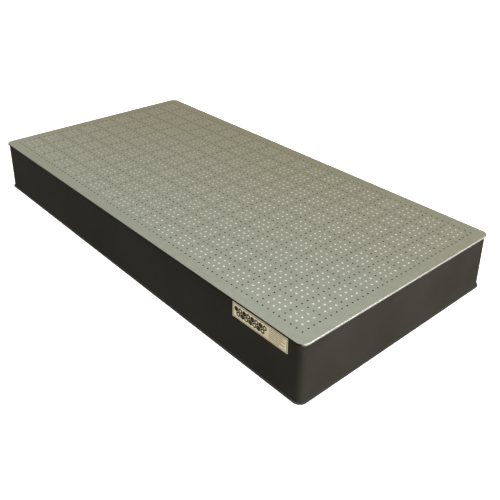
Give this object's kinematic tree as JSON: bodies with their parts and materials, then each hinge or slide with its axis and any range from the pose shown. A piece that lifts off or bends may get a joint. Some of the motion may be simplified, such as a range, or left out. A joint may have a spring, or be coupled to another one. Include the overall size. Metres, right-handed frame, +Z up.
{
  "type": "optical table top",
  "caption": "Flat rectangular slab with a steel honeycomb core, a regular grid of tapped holes on top and dark clad sides.",
  "frame": {"origin": "middle of the underside, where the slab rests", "axes": "+X along the long side towards the right end, +Y from the front side with the name plate to the back, +Z up"},
  "size_m": [2, 1, 0.23],
  "materials": {
    "stainless_top": "fine ground satin stainless",
    "painted_steel": "matte dark paint",
    "plug_nylon": "pale natural nylon",
    "cup_polymer": "dark moulded polymer",
    "core_foil": "plain steel foil",
    "wall_steel": "plain steel sheet",
    "damping_board": "dense particle board",
    "side_vinyl": "fine textured dark vinyl on sheet",
    "gasket_rubber": "black elastomer",
    "plate_cream": "cream film on a thin plate",
    "plate_print": "dark printed ink"
  },
  "bodies": {
    "root": {"top_skin": "stainless_top", "bottom_skin": "painted_steel", "hole_plugs": "plug_nylon", "sealing_cups": "cup_polymer", "honeycomb_core": "core_foil", "septum_sheet": "core_foil", "inner_wall_front": "wall_steel", "inner_wall_back": "wall_steel", "inner_wall_left": "wall_steel", "inner_wall_right": "wall_steel", "damping_board_front": "damping_board", "damping_board_back": "damping_board", "damping_board_left": "damping_board", "damping_board_right": "damping_board", "side_cladding_front": "side_vinyl", "side_cladding_back": "side_vinyl", "side_cladding_left": "side_vinyl", "side_cladding_right": "side_vinyl", "corner_post_front_right": "wall_steel", "corner_cladding_front_right": "side_vinyl", "corner_post_back_right": "wall_steel", "corner_cladding_back_right": "side_vinyl", "corner_post_back_left": "wall_steel", "corner_cladding_back_left": "side_vinyl", "corner_post_front_left": "wall_steel", "corner_cladding_front_left": "side_vinyl", "gasket_top": "gasket_rubber", "gasket_bottom": "gasket_rubber", "name_plate": "plate_cream", "name_plate_frame": "plate_print", "name_plate_emblem": "plate_print", "name_plate_rules": "plate_print"}
  },
  "joints": []
}
